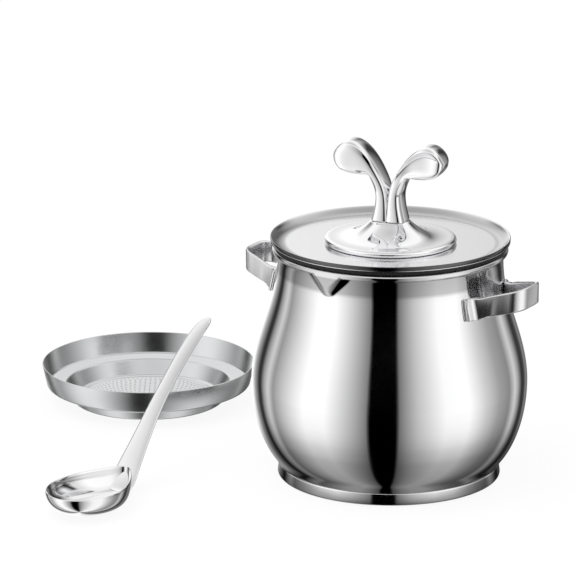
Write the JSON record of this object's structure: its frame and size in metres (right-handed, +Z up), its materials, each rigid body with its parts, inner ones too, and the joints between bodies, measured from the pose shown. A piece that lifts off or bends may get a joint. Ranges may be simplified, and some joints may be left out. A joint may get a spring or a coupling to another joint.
{
  "type": "bacon grease container",
  "caption": "Polished steel kitchen pot for straining and keeping cooking fat, with a lift-off lid with a sprout-shaped knob, a lift-out strainer and a soup spoon.",
  "frame": {"origin": "middle of the underside of the pot's base, on the surface that it stands on", "axes": "+Z up, pouring beak towards -Y, handles at +X and -X, strainer and spoon on the -X side"},
  "size_m": [0.3093, 0.257, 0.1729],
  "materials": {
    "polished_steel": "mirror-polished stainless steel",
    "satin_steel": "satin stainless steel, spun in rings",
    "knob_chrome": "chromed zinc casting",
    "core_aluminium": "plain",
    "seal_silicone": "matt black silicone",
    "plain_steel": "plain pressed or turned steel"
  },
  "bodies": {
    "pot": {"pot_shell": "polished_steel", "base_core": "core_aluminium", "base_cap": "polished_steel", "left_handle": "polished_steel", "right_handle": "polished_steel"},
    "lid": {"lid_pan": "polished_steel", "lid_seal": "seal_silicone", "knob_flange": "knob_chrome", "sprout_knob": "knob_chrome", "knob_screw": "plain_steel", "knob_washer": "plain_steel"},
    "strainer": {"strainer_pan": "satin_steel", "strainer_plate": "satin_steel"},
    "spoon": {"spoon": "polished_steel"}
  },
  "joints": [
    {"name": "lid_lift", "type": "slide", "parent": "pot", "child": "lid", "axis": [0, 0, 1], "range_m": [0, 0.08]},
    {"name": "strainer_lift", "type": "slide", "parent": "pot", "child": "strainer", "axis": [0, 0, 1], "range_m": [0, 0.06]},
    {"name": "spoon_lift", "type": "slide", "parent": "pot", "child": "spoon", "axis": [0, 0, 1], "range_m": [0, 0.06]}
  ]
}
